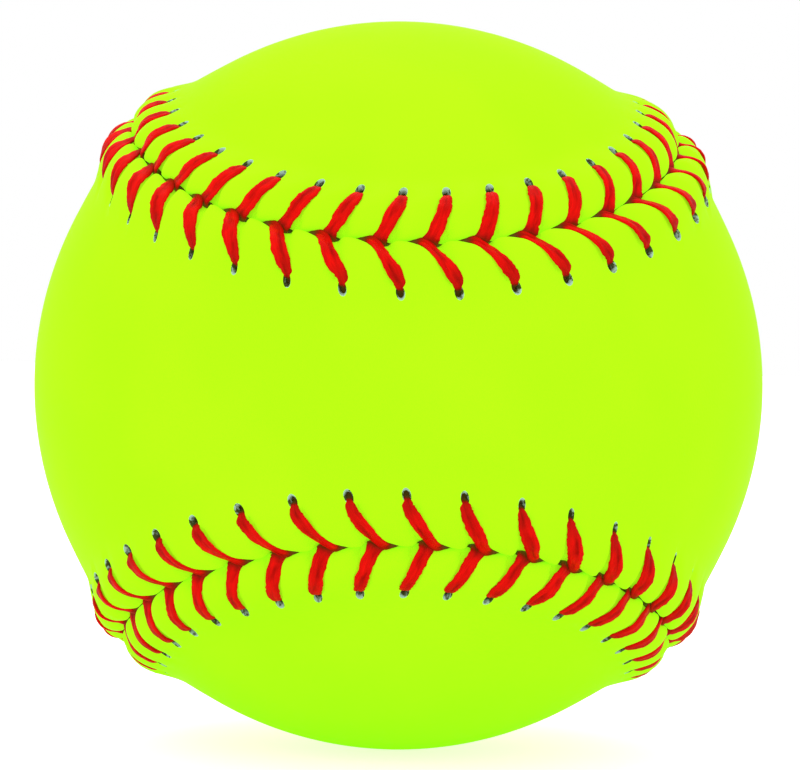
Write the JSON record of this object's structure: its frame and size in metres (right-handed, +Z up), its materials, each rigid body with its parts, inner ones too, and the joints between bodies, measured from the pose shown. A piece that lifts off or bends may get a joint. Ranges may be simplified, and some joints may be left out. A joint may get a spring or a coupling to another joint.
{
  "type": "softball",
  "caption": "Sewn play ball: moulded core, two figure-eight cover panels, raised scalloped seam and herringbone stitching in contrasting thread.",
  "frame": {"origin": "centre of the ball", "axes": "+Z up, through the upper lobe of the back panel; -Y out of the waist of the front panel, which faces the viewer; +X to the viewer's right"},
  "size_m": [0.097, 0.098, 0.097],
  "materials": {
    "core_foam": "moulded polyurethane, matte",
    "cement": "dried latex cement, satin",
    "cover": "bright yellow-green coated synthetic leather, satin, fine grain",
    "thread": "red waxed thread, flat lay, soft sheen"
  },
  "bodies": {
    "root": {"core": "core_foam", "cement_coat": "cement", "cover_panel_front": "cover", "cover_panel_back": "cover", "seam_thread_one": "thread", "seam_thread_two": "thread"}
  },
  "joints": []
}
